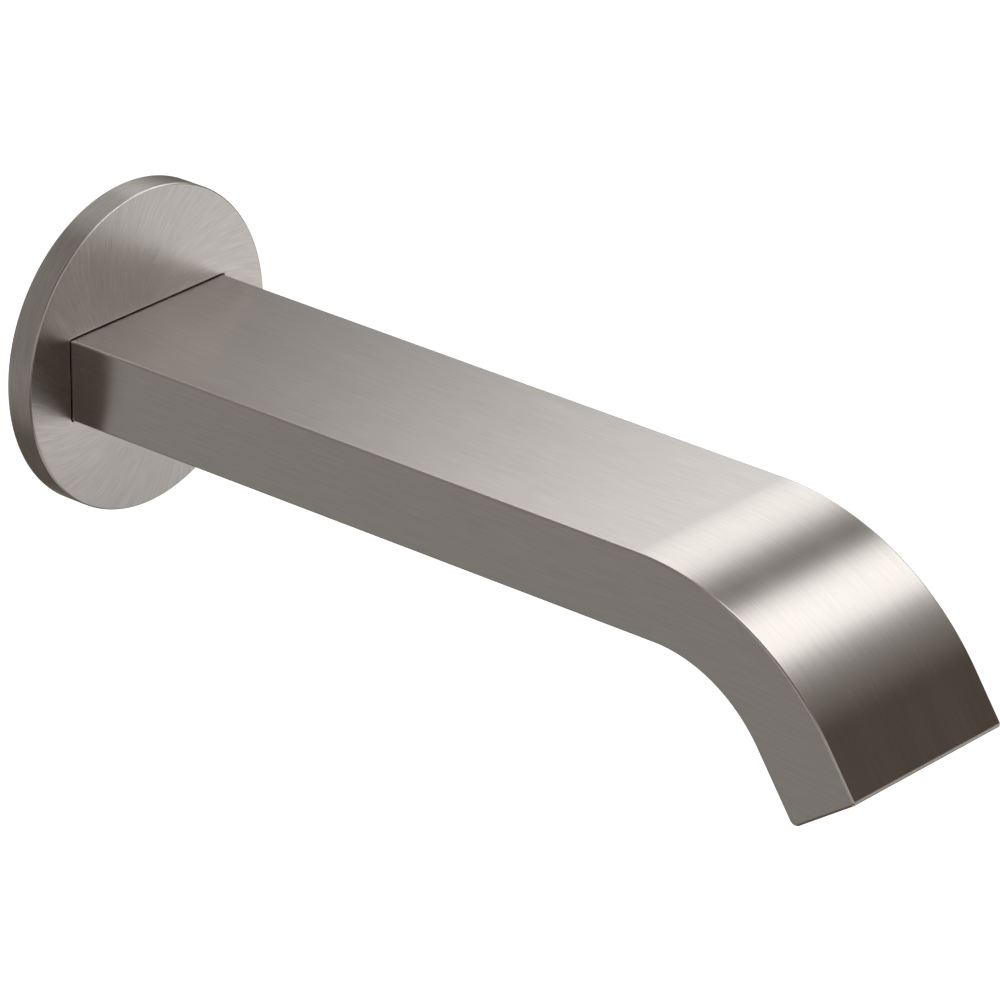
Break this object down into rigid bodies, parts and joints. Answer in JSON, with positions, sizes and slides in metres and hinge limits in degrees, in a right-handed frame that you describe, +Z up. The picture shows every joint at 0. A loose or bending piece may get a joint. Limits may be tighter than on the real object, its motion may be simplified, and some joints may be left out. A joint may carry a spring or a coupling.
{
  "type": "wall-mounted bath spout",
  "caption": "Flat rectangular wall-mounted bath spout that turns down at its end, on a round escutcheon, in brushed nickel.",
  "frame": {"origin": "centre of the escutcheon's back, on the wall plane and on the axis of the supply pipe", "axes": "+Z up, +Y into the wall, the arm points along -Y, +X across the arm"},
  "size_m": [0.07, 0.228, 0.0715],
  "materials": {
    "brushed_nickel": "satin brushed nickel plating",
    "brass": "plain machined brass",
    "copper": "drawn copper tube, slightly dulled",
    "stainless": "plain stainless steel",
    "rubber": "matt black rubber",
    "foam": "closed-cell foam rubber",
    "plastic": "moulded off-white plastic"
  },
  "bodies": {
    "adapter": {"supply_adapter": "brass", "adapter_o_ring_rear": "rubber", "adapter_o_ring_front": "rubber"},
    "spout": {"spout_arm": "brushed_nickel", "inlet_collar": "brass", "waterway_tube": "copper", "tube_clip_rear": "plastic", "tube_clip_front": "plastic", "outlet_manifold": "plastic"},
    "escutcheon_set": {"escutcheon": "brushed_nickel", "escutcheon_carrier": "plastic", "escutcheon_grip_ring": "rubber", "wall_gasket": "foam"},
    "outlet_cassette": {"outlet_frame": "plastic", "outlet_seal": "rubber", "flow_straightener": "plastic", "screen_lower": "stainless", "screen_upper": "stainless"},
    "rear_screw": {"set_screw_rear": "stainless"},
    "front_screw": {"set_screw_front": "stainless"}
  },
  "joints": [
    {"name": "spout_pull_off", "type": "slide", "parent": "adapter", "child": "spout", "axis": [0, -1, 0], "range_m": [0, 0.04]},
    {"name": "escutcheon_slide", "type": "slide", "parent": "spout", "child": "escutcheon_set", "axis": [0, -1, 0], "range_m": [0, 0.13]},
    {"name": "cassette_pull_out", "type": "slide", "parent": "spout", "child": "outlet_cassette", "axis": [0, -0.5519, -0.8339], "range_m": [0, 0.018]},
    {"name": "rear_screw_turn", "type": "hinge", "parent": "spout", "child": "rear_screw", "pos_m": [0, -0.012, -0.0069], "axis": [0, 0, -1], "range_deg": [0, 720]},
    {"name": "front_screw_turn", "type": "hinge", "parent": "spout", "child": "front_screw", "pos_m": [0, -0.02, -0.0069], "axis": [0, 0, -1], "range_deg": [0, 720]}
  ]
}
